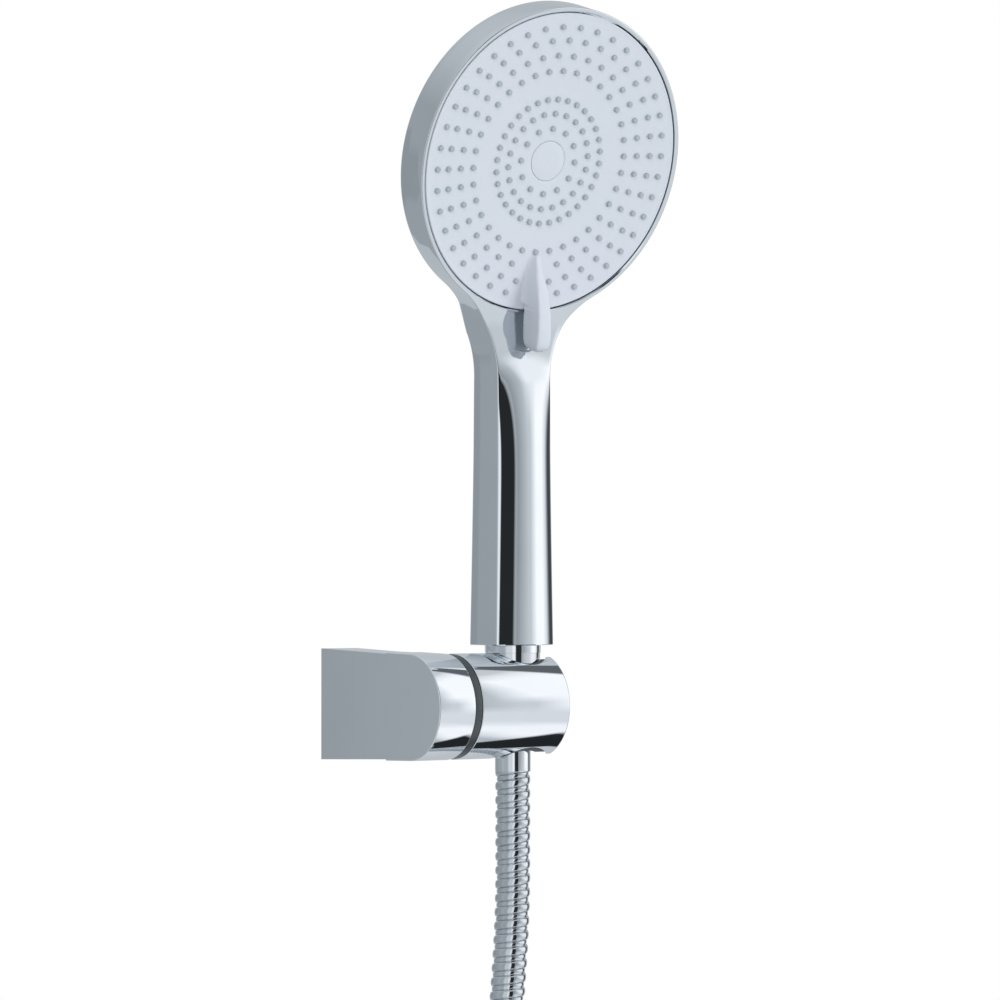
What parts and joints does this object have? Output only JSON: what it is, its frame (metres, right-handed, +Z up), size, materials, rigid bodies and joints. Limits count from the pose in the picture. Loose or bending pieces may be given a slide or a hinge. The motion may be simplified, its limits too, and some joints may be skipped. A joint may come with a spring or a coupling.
{
  "type": "handheld shower head",
  "caption": "Round handheld shower with a pale spray face and selector lever, standing in a tilting chrome wall bracket, with a wound metal hose.",
  "frame": {"origin": "centre of the bracket's two wall screws, on the wall face of its plate", "axes": "+Z up, +Y into the wall, so the shower stands out along -Y; +X runs along the tilting axis from the fixed base to the holder"},
  "size_m": [0.1889, 0.1062, 0.6825],
  "materials": {
    "chrome_handset": "polished chrome plating on moulded plastic",
    "chrome_bracket": "polished chrome plating on a casting",
    "chrome_fitting": "polished chrome plating on turned brass",
    "hose_chrome": "polished chrome-plated strip, wound and locked",
    "hose_core": "hose bulk, covered by the wound metal strip",
    "steel": "satin stainless steel",
    "brass": "turned brass",
    "dark_plastic": "satin dark grey moulded plastic",
    "face_plastic": "satin pale blue-grey moulded plastic",
    "white_plastic": "natural white moulded plastic",
    "green_plastic": "green moulded plastic",
    "silicone": "translucent grey silicone",
    "black_rubber": "black rubber",
    "strap": "woven hook-and-loop strap"
  },
  "bodies": {
    "root": {"wall_plate": "steel", "base_shell": "chrome_bracket", "grub_screw": "steel", "pivot_insert": "brass", "pivot_screw": "steel", "wave_washer": "steel", "friction_ring": "dark_plastic"},
    "holder": {"holder_shell": "chrome_bracket", "holder_liner": "dark_plastic", "pivot_bush": "white_plastic"},
    "hose_end": {"hose_stem": "brass", "upper_ferrule": "steel", "hose_upper": "hose_core"},
    "handset": {"handset_shell": "chrome_handset", "waterway": "white_plastic", "inlet_washer": "black_rubber", "inlet_filter": "steel", "flow_restrictor": "green_plastic", "cone_nut": "chrome_fitting", "spray_housing": "white_plastic", "housing_screws": "steel", "chamber_seal": "black_rubber", "detent_spring": "steel", "detent_ball": "steel", "face_screw": "steel"},
    "selector": {"spray_plate": "face_plastic", "nozzle_mat": "silicone", "distributor": "white_plastic", "diverter_disc": "dark_plastic", "centre_cap": "face_plastic"},
    "hose_drop": {"hose_lower": "hose_core", "hose_coil": "hose_core", "hose_tail": "hose_core", "hose_tie": "strap", "lower_ferrule": "steel", "tail_stem": "brass", "nut_washer": "black_rubber"},
    "hose_nut": {"wall_nut": "chrome_fitting"}
  },
  "joints": [
    {"name": "holder_tilt", "type": "hinge", "parent": "root", "child": "holder", "pos_m": [0, -0.0615, 0], "axis": [1, 0, 0], "range_deg": [-15, 45]},
    {"name": "handset_lift", "type": "slide", "parent": "holder", "child": "hose_end", "axis": [0, 0, 1], "range_m": [0, 0.045]},
    {"name": "handset_swivel", "type": "hinge", "parent": "hose_end", "child": "handset", "pos_m": [0.042, -0.0615, 0], "axis": [0, 0, 1], "continuous": true},
    {"name": "spray_select", "type": "hinge", "parent": "handset", "child": "selector", "pos_m": [0.042, -0.088, 0.215], "axis": [0, -0.9563, -0.2924], "range_deg": [-7.3, 3.7]},
    {"name": "hose_hang", "type": "hinge", "parent": "hose_end", "child": "hose_drop", "pos_m": [0.042, -0.0615, -0.08], "axis": [1, 0, 0], "range_deg": [-46, 16]},
    {"name": "nut_spin", "type": "hinge", "parent": "hose_drop", "child": "hose_nut", "pos_m": [0.122, -0.09422, -0.40391], "axis": [0, 0, 1], "continuous": true}
  ],
  "couplings": [
    {"joint": "hose_hang", "follows": "holder_tilt", "ratio": -1}
  ]
}
